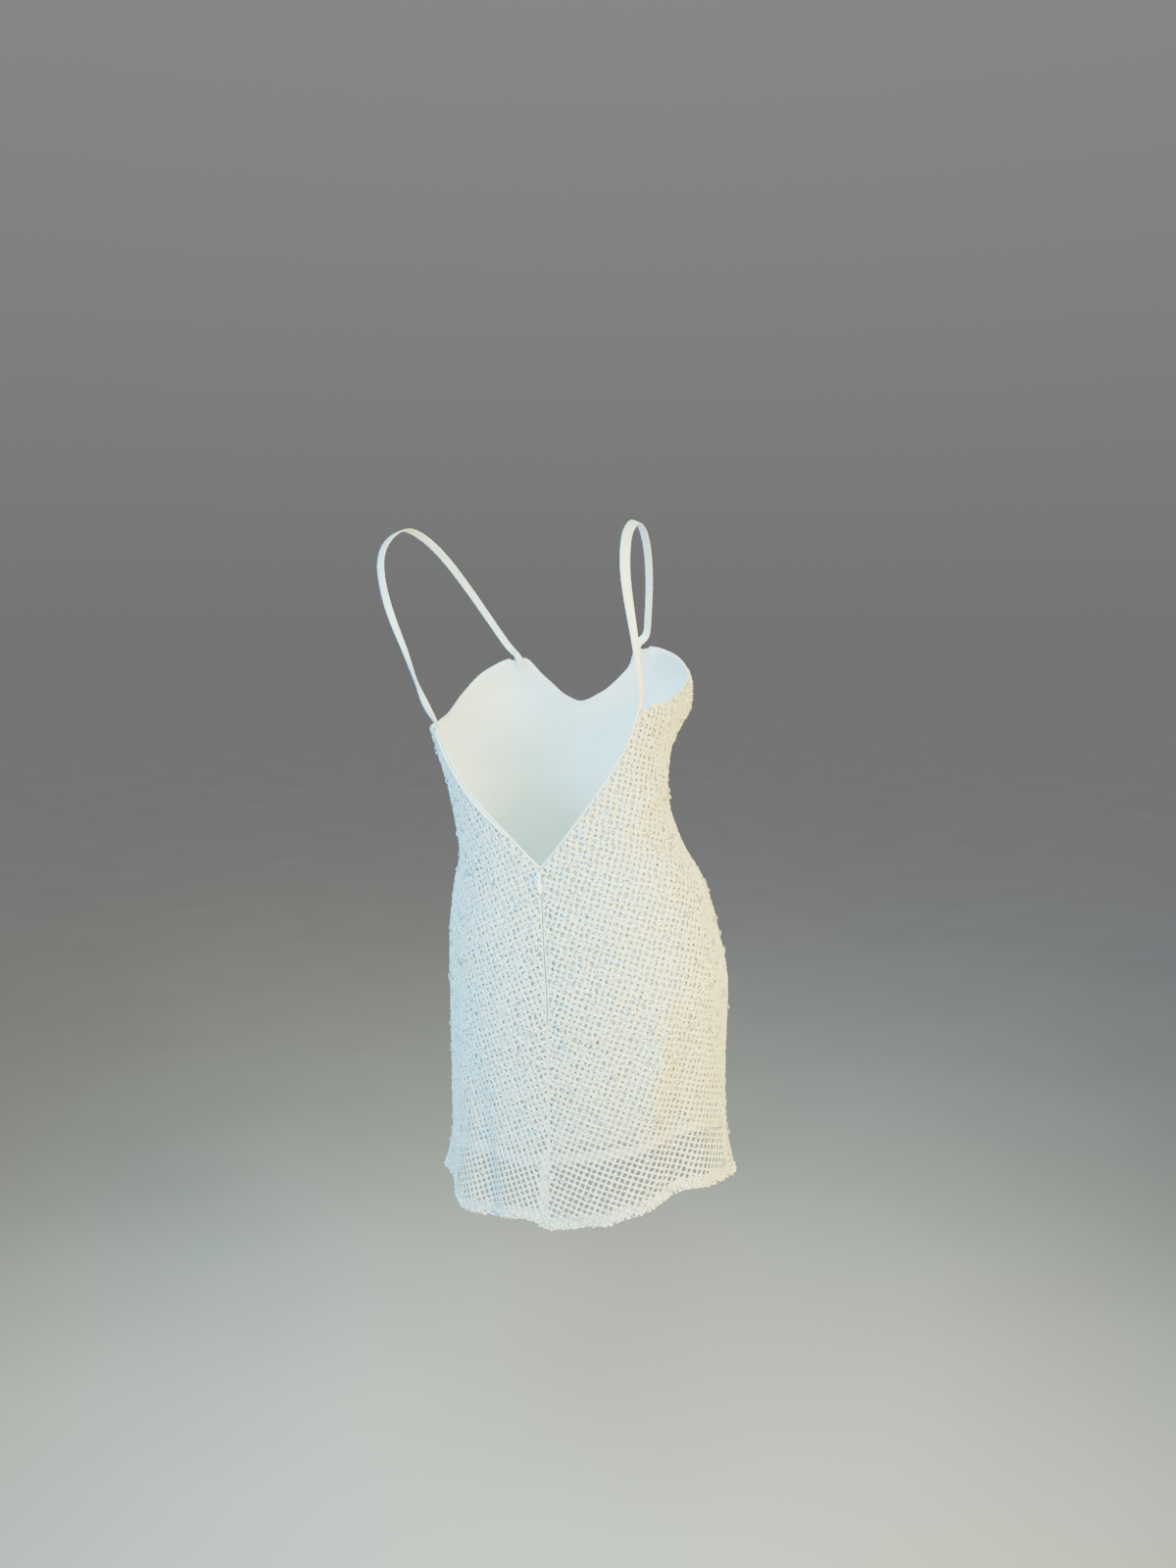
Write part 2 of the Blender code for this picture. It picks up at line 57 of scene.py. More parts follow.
# height, centre x, centre y, half width, depth to the front, depth to the back
SECTIONS = [
    (-0.12, -0.022, -0.016, 0.140, 0.098, 0.088),
    (-0.17, -0.027, -0.018, 0.147, 0.104, 0.092),
    (-0.22, -0.031, -0.019, 0.147, 0.102, 0.092),
    (-0.26, -0.034, -0.021, 0.140, 0.097, 0.090),
    (-0.30, -0.039, -0.024, 0.134, 0.093, 0.087),
    (-0.34, -0.043, -0.029, 0.132, 0.090, 0.086),
    (-0.38, -0.051, -0.034, 0.136, 0.092, 0.091),
    (-0.42, -0.058, -0.038, 0.152, 0.097, 0.101),
    (-0.48, -0.065, -0.040, 0.165, 0.103, 0.113),
    (-0.56, -0.073, -0.040, 0.172, 0.108, 0.122),
    (-0.64, -0.072, -0.040, 0.171, 0.112, 0.118),
    (-0.72, -0.071, -0.040, 0.172, 0.114, 0.115),
    (-0.81, -0.069, -0.040, 0.188, 0.118, 0.117),
]

CUP_TURN = 137.0
CUP_SPREAD = 27.0
CUP_HEIGHT = -0.200
CUP_REACH = 0.060
CUP_SWELL = 0.060            # how far the cup fades out above its middle
CUP_FALL = 0.072             # and below it, where it stays full for longer
CUP_FALL_POWER = 2.7

# top height, foot height, turn at the top, turn at the foot, spread, depth
FOLDS = [
    (-0.66, -0.84, 70.0, 67.0, 8.0, -0.012),      # hem tucked under at the left side
    (-0.70, -0.84, 92.0, 94.0, 9.0, 0.005),       # hem flare at the left
    (-0.50, -0.76, -57.0, -47.0, 7.0, 0.009),     # long ridge down the right back
    (-0.56, -0.80, -66.0, -62.0, 6.5, -0.008),    # trough beside it
    (-0.56, -0.78, -80.0, -96.0, 6.0, 0.005),     # side fold, right
    (-0.56, -0.80, 50.0, 36.0, 6.0, -0.008),      # long trough, left back
    (-0.34, -0.43, -58.0, -106.0, 10.0, -0.005),  # hollow below the right waist
    (-0.27, -0.37, -108.0, -50.0, 7.0, 0.004),    # crease above the right waist
    (-0.58, -0.82, 150.0, 158.0, 9.0, -0.004),    # front folds
    (-0.62, -0.82, -150.0, -142.0, 10.0, -0.004),
]

# Edges of the cloth: turn, height.
BACK_LEFT_TOP = [
    (0.0, -0.396), (14.0, -0.372), (34.0, -0.336), (47.0, -0.309), (55.0, -0.284),
    (61.0, -0.256), (65.0, -0.229), (72.0, -0.227), (90.0, -0.224),
]
BACK_RIGHT_TOP = [
    (-90.0, -0.218), (-77.0, -0.221), (-70.5, -0.224), (-67.5, -0.250), (-60.0, -0.281),
    (-48.0, -0.314), (-34.0, -0.344), (-17.0, -0.371), (0.0, -0.396),
]
FRONT_TOP = [
    (90.0, -0.224), (104.0, -0.214), (118.0, -0.191), (130.0, -0.163), (140.0, -0.152),
    (146.0, -0.152), (156.0, -0.178), (168.0, -0.204), (180.0, -0.213), (192.0, -0.204),
    (204.0, -0.178), (214.0, -0.152), (220.0, -0.152), (230.0, -0.162), (242.0, -0.190),
    (256.0, -0.209), (270.0, -0.218),
]
BACK_LEFT_HEM = [
    (0.0, -0.812), (3.5, -0.811), (7.0, -0.805), (17.0, -0.804), (29.0, -0.806),
    (41.0, -0.809), (49.5, -0.809), (56.0, -0.803), (64.0, -0.791), (74.0, -0.782),
    (90.0, -0.783),
]
BACK_RIGHT_HEM = [
    (-90.0, -0.783), (-78.0, -0.778), (-66.0, -0.775), (-58.0, -0.783), (-50.0, -0.792),
    (-42.0, -0.797), (-33.0, -0.805), (-24.0, -0.807), (-7.0, -0.812), (0.0, -0.813),
]
FRONT_HEM = [
    (90.0, -0.783), (115.0, -0.790), (145.0, -0.798), (180.0, -0.800), (215.0, -0.797),
    (245.0, -0.789), (270.0, -0.783),
]
LINING_HEM = [
    (-90.0, -0.725), (-71.0, -0.713), (-62.0, -0.715), (-46.0, -0.728), (-23.0, -0.735),
    (0.0, -0.740), (18.0, -0.744), (37.0, -0.739), (58.0, -0.742), (90.0, -0.744),
    (140.0, -0.740), (180.0, -0.736), (220.0, -0.732), (270.0, -0.725),
]

# name, turns of its two seams, top edge, hem, turn of the seam that the net is laid from,
# tilt of the net's rows in degrees (they rise towards that seam)
PANELS = [
    ("back_left", 0.0, 90.0, BACK_LEFT_TOP, BACK_LEFT_HEM, 0.0, -22.0),
    ("back_right", -90.0, 0.0, BACK_RIGHT_TOP, BACK_RIGHT_HEM, 0.0, 20.0),
    ("front", 90.0, 270.0, FRONT_TOP, FRONT_HEM, 180.0, 0.0),
]

STRAP_LEFT = [
    (0.0960, 0.0460, -0.208, 0.0080, 25.0),
    (0.1050, 0.0550, -0.178, 0.0070, -15.0),
    (0.1160, 0.0605, -0.142, 0.0070, 15.0),
    (0.1305, 0.0630, -0.105, 0.0080, 28.0),
    (0.1430, 0.0600, -0.070, 0.0090, 10.0),
    (0.1515, 0.0500, -0.038, 0.0095, 10.0),
    (0.1535, 0.0290, -0.014, 0.0100, 12.0),
    (0.1475, 0.0000, 0.000, 0.0100, 8.0),
    (0.1380, -0.0300, -0.008, 0.0100, 0.0),
    (0.1240, -0.0590, -0.032, 0.0095, 0.0),
    (0.1060, -0.0880, -0.070, 0.0090, 0.0),
    (0.0850, -0.1130, -0.113, 0.0085, 0.0),
    (0.0710, -0.1245, -0.138, 0.0085, 0.0),
]
STRAP_RIGHT = [
    (-0.1650, 0.0280, -0.186, 0.0070, 15.0),
    (-0.1645, 0.0380, -0.158, 0.0070, 10.0),
    (-0.1625, 0.0465, -0.126, 0.0080, 0.0),
    (-0.1590, 0.0530, -0.093, 0.0095, 0.0),
    (-0.1550, 0.0540, -0.062, 0.0105, 0.0),
    (-0.1515, 0.0455, -0.034, 0.0110, 0.0),
    (-0.1480, 0.0270, -0.013, 0.0110, 0.0),
    (-0.1470, 0.0000, 0.000, 0.0110, 0.0),
    (-0.1455, -0.0300, -0.007, 0.0105, 0.0),
    (-0.1410, -0.0600, -0.030, 0.0100, 0.0),
    (-0.1335, -0.0880, -0.064, 0.0095, 0.0),
    (-0.1235, -0.1135, -0.103, 0.0090, 0.0),
    (-0.1170, -0.1250, -0.125, 0.0090, 0.0),
]
# Where each sewn end passes the dress's edge, and its foot inside: turn, height, and how far
# in from the middle of the net.
STRAP_ENDS = {
    "strap_left": (((68.5, -0.229, 0.0072), (68.5, -0.241, 0.0072)),
                   ((142.5, -0.147, 0.0085), (145.0, -0.161, 0.0095))),
    "strap_right": (((-73.5, -0.224, 0.0072), (-73.5, -0.236, 0.0072)),
                    ((217.5, -0.147, 0.0085), (215.0, -0.161, 0.0095))),
}
SHOULDER_MIDDLE = np.array([-0.01, -0.02, -0.17])
SHOULDER_SIZE = np.array([0.24, 0.12, 0.17])


def smooth(rows, column, at):
    """Read one column of a table at any place in its first column, without overshoot."""
    table = np.array(sorted(rows))
    place = table[:, 0]
    value = table[:, column]
    step = np.diff(place)
    slope = np.diff(value) / step
    bend = np.zeros(len(place))
    bend[0] = slope[0]
    bend[-1] = slope[-1]
    for row in range(1, len(place) - 1):
        before = slope[row - 1]
        after = slope[row]
        if before * after > 0.0:
            heavy = 2.0 * step[row] + step[row - 1]
            light = step[row] + 2.0 * step[row - 1]
            bend[row] = (heavy + light) / (heavy / before + light / after)
    at = np.clip(at, place[0], place[-1])
    row = np.clip(np.searchsorted(place, at) - 1, 0, len(step) - 1)
    part = (at - place[row]) / step[row]
    ease = part * part * (3.0 - 2.0 * part)
    lead = part * (1.0 - part) ** 2 * step[row] * bend[row]
    trail = part * part * (part - 1.0) * step[row] * bend[row + 1]
    return (1.0 - ease) * value[row] + ease * value[row + 1] + lead + trail


def spline(rows, steps):
    """Catmull-Rom points through the rows, with `steps` lengths between two rows."""
    table = np.array(rows)
    ends = np.vstack([2.0 * table[0] - table[1], table, 2.0 * table[-1] - table[-2]])
    points = []
    for row in range(1, len(ends) - 2):
        before, start, end, after = ends[row - 1:row + 3]
        for part in np.arange(steps) / steps:
            points.append(0.5 * (
                2.0 * start
                + (end - before) * part
                + (2.0 * before - 5.0 * start + 4.0 * end - after) * part ** 2
                + (3.0 * start - before - 3.0 * end + after) * part ** 3))
    points.append(ends[-2])
    return np.array(points)


def turn_from(turn, middle):
    return (turn - middle + 180.0) % 360.0 - 180.0


def fold_swell(turn, height):
    swell = 0.0
    for top, foot, top_turn, foot_turn, spread, depth in FOLDS:
        along = np.clip((top - height) / (top - foot), 0.0, 1.0)
        middle = top_turn + (foot_turn - top_turn) * along
        if foot < -0.76:
            fade = np.sin(0.5 * math.pi * along) ** 2
        else:
            fade = np.sin(math.pi * along) ** 2
        swell = swell + depth * fade * np.exp(-(turn_from(turn, middle) / spread) ** 2)
    return swell


def cloth_point(turn, height, out=0.0, cup_reach=CUP_REACH):
    """The point of the dress at a turn and a height, moved `out` from the net's middle."""
    turn, height = np.broadcast_arrays(np.asarray(turn, float), np.asarray(height, float))
    centre_x, centre_y, half_width, front, back = (
        smooth(SECTIONS, column, height) for column in range(1, 6))
    sine = np.sin(np.radians(turn))
    cosine = np.cos(np.radians(turn))
    depth = np.where(cosine > 0.0, back, front)
    across = np.abs(sine / half_width) ** BODY_POWER
    along = np.abs(cosine / depth) ** BODY_POWER
    radius = (across + along) ** (-1.0 / BODY_POWER)
    rise = height - CUP_HEIGHT
    cup_fade = np.exp(-np.where(rise > 0.0, np.abs(rise / CUP_SWELL) ** 2,
                                np.abs(rise / CUP_FALL) ** CUP_FALL_POWER))
    for side in (-1.0, 1.0):
        near = turn_from(turn, side * CUP_TURN) / CUP_SPREAD
        radius = radius + cup_reach * cup_fade * np.exp(-near ** 2)
    radius = radius + fold_swell(turn, height) + out
    x = centre_x + radius * sine
    y = centre_y + radius * cosine
    return np.stack([x, y, height - HIP_TILT * x], axis=-1)


def cloth_frame(turn, height, out=0.0):
    """A matrix on the cloth: X towards the wearer's left, Y off the cloth, Z up it."""
    place = Vector(cloth_point(turn, height, out))
    ahead = Vector(cloth_point(turn + 0.5, height, out)) - place
    above = Vector(cloth_point(turn, height + 0.004, out)) - place
    z_axis = above.normalized()
    y_axis = z_axis.cross(ahead).normalized()
    x_axis = y_axis.cross(z_axis)
    made = Matrix((x_axis, y_axis, z_axis)).transposed().to_4x4()
    made.translation = place
    return made


# ---------------------------------------------------------------- materials

def ramp(tree, factor, dark, light, low=0.3, high=0.7):
    node = tree.nodes.new("ShaderNodeValToRGB")
    node.color_ramp.elements[0].position = low
    node.color_ramp.elements[1].position = high
    node.color_ramp.elements[0].color = (*dark, 1.0)
    node.color_ramp.elements[1].color = (*light, 1.0)
    tree.links.new(factor, node.inputs["Fac"])
    return node.outputs["Color"]


def noise(tree, scale, detail=2.0):
    place = tree.nodes.new("ShaderNodeTexCoord")
    node = tree.nodes.new("ShaderNodeTexNoise")
    node.inputs["Scale"].default_value = scale
    node.inputs["Detail"].default_value = detail
    tree.links.new(place.outputs["Object"], node.inputs["Vector"])
    return node.outputs["Fac"]


def cloth_material(name, dark, light, colour_scale, roughness, bump_scale, bump_height,
                   sheen=0.0, metallic=0.0, coat=0.0, islands=False):
    """A Principled material with mottled colour and a fine bump."""
    made = bpy.data.materials.new(name)
    made.use_nodes = True
    tree = made.node_tree
    shader = tree.nodes["Principled BSDF"]
    if islands:
        factor = tree.nodes.new("ShaderNodeNewGeometry").outputs["Random Per Island"]
        colour = ramp(tree, factor, dark, light, 0.0, 1.0)
    else:
        colour = ramp(tree, noise(tree, colour_scale), dark, light)
    tree.links.new(colour, shader.inputs["Base Color"])
    shader.inputs["Roughness"].default_value = roughness
    shader.inputs["Sheen Weight"].default_value = sheen
    if bump_height:
        bump = tree.nodes.new("ShaderNodeBump")
        bump.inputs["Distance"].default_value = bump_height
        tree.links.new(noise(tree, bump_scale), bump.inputs["Height"])
        tree.links.new(bump.outputs["Normal"], shader.inputs["Normal"])
    shader.inputs["Metallic"].default_value = metallic
    shader.inputs["Coat Weight"].default_value = coat
    return made


MATERIALS = {
    "net": cloth_material("net_yarn", (0.84, 0.84, 0.80), (0.95, 0.95, 0.92), 260.0, 0.55,
                          1400.0, 0.0004, sheen=0.2),
    "lining": cloth_material("lining_satin", (0.90, 0.91, 0.90), (0.95, 0.96, 0.95), 40.0, 0.42,
                             2200.0, 0.0001, sheen=0.1),
    # The lining's outside, seen only through the net's holes: painted shade, a grey darker than
    # the white satin that stands for the shade inside the holes.
    "lining_back_painted_shade": cloth_material("lining_back_painted_shade", (0.48, 0.51, 0.48), (0.60, 0.62, 0.60), 160.0,
                                  0.5, 2200.0, 0.0001),
    "edging": cloth_material("edging_lace", (0.88, 0.88, 0.87), (0.94, 0.94, 0.93), 300.0, 0.5,
                             1600.0, 0.0003),
    "satin": cloth_material("strap_satin", (0.90, 0.90, 0.89), (0.96, 0.96, 0.95), 90.0, 0.33,
                            2600.0, 0.0001, sheen=0.1),
    "bead": cloth_material("glass_beads", (0.70, 0.70, 0.68), (0.98, 0.98, 0.97), 1.0, 0.16,
                           1.0, 0.0, coat=0.6, islands=True),
    "sequin": cloth_material("clear_sequins", (0.86, 0.93, 0.98), (0.98, 0.96, 0.97), 1.0, 0.22,
                             1.0, 0.0, metallic=0.45, coat=0.8, islands=True),
    # The zip's tape: painted shade, a dark grey that stands for the shadow in the narrow gap
    # along the zip.
    "zip_tape": cloth_material("zip_tape", (0.24, 0.25, 0.25), (0.36, 0.37, 0.36), 700.0, 0.7,
                               900.0, 0.0001),
    "zip_slider": cloth_material("zip_metal", (0.62, 0.64, 0.64), (0.80, 0.81, 0.80), 500.0,
                                 0.24, 900.0, 0.00005, metallic=0.85),
    "zip_pull": cloth_material("zip_lacquer", (0.90, 0.90, 0.89), (0.97, 0.97, 0.96), 400.0,
                               0.20, 900.0, 0.00005, coat=0.5),
}


# ---------------------------------------------------------------- building blocks

def mesh_object(name, points, faces, material_name, soft=True):
    """One mesh object from arrays of points and faces, linked and smooth."""
    mesh = bpy.data.meshes.new(name)
    mesh.from_pydata(np.asarray(points).reshape(-1, 3).tolist(), [], np.asarray(faces).tolist())
    mesh.validate()
    if soft:
        mesh.shade_smooth()
    mesh.materials.append(MATERIALS[material_name])
    made = bpy.data.objects.new(name, mesh)
    bpy.context.scene.collection.objects.link(made)
    return made


def thicken(made, wall):
    """Give a sheet its wall; a second material, where there is one, goes on the inside."""
    solidify = made.modifiers.new("wall", "SOLIDIFY")
    solidify.thickness = wall
    solidify.offset = 0.0
    solidify.material_offset = len(made.data.materials) - 1
    solidify.material_offset_rim = len(made.data.materials) - 1
    return made


def grid_faces(rows, columns):
    corner = (np.arange(rows - 1)[:, None] * columns + np.arange(columns - 1)).ravel()
    return np.stack([corner, corner + columns, corner + columns + 1, corner + 1], axis=1)


def sheet_object(name, grid, wall, material_name, inside=None):
    """A shell through a grid of points."""
    rows, columns = grid.shape[:2]
    made = mesh_object(name, grid, grid_faces(rows, columns), material_name)
    if inside:
        made.data.materials.append(MATERIALS[inside])
    return thicken(made, wall)


def copies(name, places, axes, sizes, shape, shape_faces, material_name):
    """Many small copies of a shape as one mesh: axes holds a 3 by 3 matrix for each."""
    count = len(places)
    points = np.einsum("nij,kj->nki", axes, shape) * sizes[:, None, None] + places[:, None, :]
    offset = np.arange(count) * len(shape)
    faces = (shape_faces[None] + offset[:, None, None]).reshape(-1, shape_faces.shape[1])
    return mesh_object(name, points, faces, material_name)


def ico_shape():
    """A ball of 20 faces, radius 1."""
    golden = 0.5 * (1.0 + math.sqrt(5.0))
    points = np.array([
        (-1, golden, 0), (1, golden, 0), (-1, -golden, 0), (1, -golden, 0),
        (0, -1, golden), (0, 1, golden), (0, -1, -golden), (0, 1, -golden),
        (golden, 0, -1), (golden, 0, 1), (-golden, 0, -1), (-golden, 0, 1)], float)
    faces = np.array([
        (0, 11, 5), (0, 5, 1), (0, 1, 7), (0, 7, 10), (0, 10, 11), (1, 5, 9), (5, 11, 4),
        (11, 10, 2), (10, 7, 6), (7, 1, 8), (3, 9, 4), (3, 4, 2), (3, 2, 6), (3, 6, 8),
        (3, 8, 9), (4, 9, 5), (2, 4, 11), (6, 2, 10), (8, 6, 7), (9, 8, 1)])
    return points / np.linalg.norm(points[0]), faces


def ring_shape(rings, segments):
    """Turned rings of (radius, height) about Z, as quads."""
    angles = np.arange(segments) * 2.0 * math.pi / segments
    points = []
    for radius, height in rings:
        for angle in angles:
            points.append((radius * math.cos(angle), radius * math.sin(angle), height))
    faces = []
    for ring in range(len(rings)):
        after = (ring + 1) % len(rings)
        for segment in range(segments):
            beside = (segment + 1) % segments
            faces.append((ring * segments + segment, ring * segments + beside,
                          after * segments + beside, after * segments + segment))
    return np.array(points), np.array(faces)


# ---------------------------------------------------------------- the net

NET_PITCH = 0.0069           # from one line of the net to the next
NET_WALL = 0.0010
HEM_TURN_UP = 0.012          # the net doubled along its hem
HEM_LAYER = -0.0014
SELVEDGE = 0.0017            # folded edge of a panel along its seams
ALLOWANCE = 0.0115           # seam allowance behind the left back's open hem
ALLOWANCE_TOP = -0.728
TABLE_MARGIN = 6.0           # degrees past the seams
LOWEST = -0.83
HIGHEST = -0.13

# In the open hem, and high over the lining: half width of a crossing and of the middle of a
# line, and how far each of them may stray.
NET_COLUMNS = ("crossing", "line", "crossing_stray", "line_stray")
NET_OPEN = np.array([0.00120, 0.00080, 0.0004, 0.0003])
NET_LINED = np.array([0.00165, 0.00100, 0.0016, 0.0013])
OPEN_ABOVE = 0.022           # the open net reaches this far above the lining's hem
OPEN_FADE = 0.080
ZIP_GAP = 0.32               # degrees more between a panel and its seam beside the zip


def flat_map(low_turn, high_turn, reference):
    """A function from flat cloth (distance from the reference seam, height) to the turn."""
    turns = np.arange(low_turn - TABLE_MARGIN, high_turn + TABLE_MARGIN + 0.5, 1.0)
    heights = np.linspace(LOWEST, HIGHEST, 141)
    points = cloth_point(turns[None, :], heights[:, None], cup_reach=0.0)
    steps = np.linalg.norm(np.diff(points, axis=1), axis=2)
    length = np.concatenate([np.zeros((len(heights), 1)), np.cumsum(steps, axis=1)], axis=1)
    for row in length:
        row -= np.interp(reference, turns, row)
    span = np.linspace(length.min(), length.max(), 400)
    inverse = np.array([np.interp(span, row, turns) for row in length])

    def to_turn(away, height):
        column = (away - span[0]) / (span[1] - span[0])
        row = (height - heights[0]) / (heights[1] - heights[0])
        column = np.clip(column, 0.0, len(span) - 1.001)
        row = np.clip(row, 0.0, len(heights) - 1.001)
        left = column.astype(int)
        below = row.astype(int)
        across = column - left
        up = row - below
        return ((1 - up) * ((1 - across) * inverse[below, left]
                            + across * inverse[below, left + 1])
                + up * ((1 - across) * inverse[below + 1, left]
                        + across * inverse[below + 1, left + 1]))

    return to_turn, span[0], span[-1]


def lined_at(turn, height):
    return height > smooth(LINING_HEM, 1, turn)


def net_kind(turn, height):
    """The net's sizes at a place: open at the hem, fuller and more strayed higher up."""
    rise = (height - smooth(LINING_HEM, 1, turn) - OPEN_ABOVE) / OPEN_FADE
    return NET_OPEN + (NET_LINED - NET_OPEN) * np.clip(rise, 0.0, 1.0)[..., None]


def seam_room(seam, height):
    """Degrees that the net keeps from a seam: more where the zip lies behind it."""
    if seam != 0.0:
        return np.full(np.shape(height), SEAM_INSET)
    return SEAM_INSET + ZIP_GAP * np.clip((height - ZIP_ROOM_FOOT) / 0.01, 0.0, 1.0)


def lattice(panel, rng, phase=0.0, out=0.0, ceiling=None):
    """Lines of the net over a panel, each narrower and strayed in its middle.

    Gives the turn, height and lift of each corner, the faces, and the places of the
    crossings, of the lines' middles and of the holes.
    """
    _, low_turn, high_turn, top, hem, reference, tilt = panel
    to_turn, low, high = flat_map(low_turn, high_turn, reference)
    row_axis = np.array([math.cos(math.radians(tilt)), math.sin(math.radians(tilt))])
    column_axis = np.array([-row_axis[1], row_axis[0]])
    corners = np.array([(s, h) for s in (low, high) for h in (LOWEST, HIGHEST)])
    first = np.floor(np.min([corners @ row_axis, corners @ column_axis], axis=1) / NET_PITCH)
    last = np.ceil(np.max([corners @ row_axis, corners @ column_axis], axis=1) / NET_PITCH)
    count = (last - first).astype(int) + 1
    i, j = np.meshgrid(np.arange(count[0]), np.arange(count[1]), indexing="ij")
    centre = ((i + first[0] + phase)[..., None] * row_axis
              + (j + first[1] + phase)[..., None] * column_axis) * NET_PITCH

    def kind(spot):
        return net_kind(to_turn(spot[..., 0], spot[..., 1]), spot[..., 1])

    sizes = kind(centre)
    centre = centre + rng.uniform(-1.0, 1.0, centre.shape) * sizes[..., 2:3]
    half = sizes[..., 0] * rng.uniform(0.65, 1.35, centre.shape[:2])
    lift = out + rng.uniform(-0.0002, 0.0003, centre.shape[:2])

    def place(spot):
        return to_turn(spot[..., 0], spot[..., 1]), spot[..., 1]

    def limits(turn):
        bottom = smooth(hem, 1, turn)
        roof = smooth(top, 1, turn)
        if ceiling is not None:
            roof = np.minimum(roof, bottom + ceiling)
        return bottom, roof

    def inside(spot):
        turn, height = place(spot)
        bottom, roof = limits(turn)
        return ((turn > low_turn + seam_room(low_turn, height))
                & (turn < high_turn - seam_room(high_turn, height))
                & (height > bottom) & (height < roof))

    ok = inside(centre)
    signs = np.array([(-1, -1), (1, -1), (1, 1), (-1, 1)])
    corner = centre[:, :, None] + half[:, :, None, None] * (
        signs[:, 0, None] * row_axis + signs[:, 1, None] * column_axis)
    index = np.arange(corner.shape[0] * corner.shape[1] * 4).reshape(*corner.shape[:3])
    spots = [corner.reshape(-1, 2)]
    lifts = [np.repeat(lift.ravel(), 4)]
    faces = [index[ok]]
    lines = []
    used = len(spots[0])
    # Each line runs from two corners of one crossing, past its own middle, to the two facing
    # corners of the next crossing.
    for start, end, here, there, side in (
            (np.s_[:-1, :], np.s_[1:, :], (1, 2), (0, 3), -column_axis),
            (np.s_[:, :-1], np.s_[:, 1:], (2, 3), (1, 0), row_axis)):
        whole = ok[start] & ok[end]
        a, b = index[start][whole], index[end][whole]
        middle = 0.5 * (centre[start][whole] + centre[end][whole])
        sizes = kind(middle)
        middle = middle + rng.uniform(-1.0, 1.0, middle.shape) * sizes[:, 3:4]
        narrow = (sizes[:, 1] * rng.uniform(0.6, 1.5, len(middle)))[:, None] * side
        spots.append(np.stack([middle + narrow, middle - narrow], 1).reshape(-1, 2))
        lifts.append(np.repeat(out + rng.uniform(0.0, 0.0004, len(middle)), 2))
        fresh = used + np.arange(2 * len(middle)).reshape(-1, 2)
        used += 2 * len(middle)
        faces.append(np.stack([a[:, here[0]], fresh[:, 0], fresh[:, 1], a[:, here[1]]], 1))
        faces.append(np.stack([fresh[:, 0], b[:, there[0]], b[:, there[1]], fresh[:, 1]], 1))
        lines.append(middle)
        for near, far, mine, others in ((start, end, here, there), (end, start, there, here)):
            cut = ok[near] & ~ok[far]
            inner, outer = centre[near][cut], centre[far][cut]
            low_part, high_part = np.zeros(len(inner)), np.ones(len(inner))
            for _ in range(8):
                middle = 0.5 * (low_part + high_part)
                held = inside(inner + (outer - inner) * middle[:, None])
                low_part = np.where(held, middle, low_part)
                high_part = np.where(held, high_part, middle)
            own, facing = corner[near][cut], corner[far][cut]
            new = [own[:, m] + (facing[:, o] - own[:, m]) * low_part[:, None]
                   for m, o in zip(mine, others)]
            fresh = used + np.arange(2 * len(inner)).reshape(-1, 2)
            spots.append(np.stack(new, 1).reshape(-1, 2))
            lifts.append(np.repeat(lift[near][cut], 2))
            used += 2 * len(inner)
            own_index = index[near][cut]
            quad = np.stack([own_index[:, mine[0]], fresh[:, 0], fresh[:, 1],
                             own_index[:, mine[1]]], 1)
            faces.append(quad if near is start else quad[:, ::-1])
    turn, height = place(np.concatenate(spots))
    turn = np.clip(turn, low_turn + seam_room(low_turn, height),
                   high_turn - seam_room(high_turn, height))
    bottom, roof = limits(turn)
    spots = np.stack([turn, np.clip(height, bottom, roof), np.concatenate(lifts)], 1)
    kept, faces = np.unique(np.concatenate(faces)[:, ::-1], return_inverse=True)
    full = ok[:-1, :-1] & ok[1:, :-1] & ok[:-1, 1:] & ok[1:, 1:]
    holes = 0.25 * (centre[:-1, :-1] + centre[1:, :-1] + centre[:-1, 1:] + centre[1:, 1:])[full]
    return (spots[kept], faces.reshape(-1, 4), np.stack(place(centre[ok]), 1),
            np.stack(place(np.concatenate(lines)), 1), np.stack(place(holes), 1))


def strip(turns, heights, out=0.0):
    """Corners and faces of a grid of turns and heights, in the lattice's own form."""
    turns, heights = np.broadcast_arrays(turns, heights)
    spots = np.stack([turns.ravel(), heights.ravel(), np.full(turns.size, out)], 1)
    return spots, grid_faces(*turns.shape)


def selvedges(panel):
    """The folded edges of a net panel along its seams, and the left back's seam allowance."""
    _, low_turn, high_turn, top, hem, _, _ = panel
    made = []
    for seam, side in ((low_turn, 1.0), (high_turn, -1.0)):
        heights = np.linspace(smooth(hem, 1, seam), smooth(top, 1, seam), 120)
        near = seam + side * seam_room(seam, heights)
        far = near + side * math.degrees(SELVEDGE / 0.13)
        turns = np.sort(np.stack([near, far], 1), axis=1)
        made.append(strip(turns, heights[:, None], 0.0001))
    if low_turn == 0.0:
        heights = np.linspace(BACK_LEFT_HEM[0][1] + 0.001, ALLOWANCE_TOP, 12)
        turns = np.linspace(0.2, math.degrees(ALLOWANCE / 0.12), 4)
        made.append(strip(turns[None, :], heights[:, None], -0.0013))
    return made


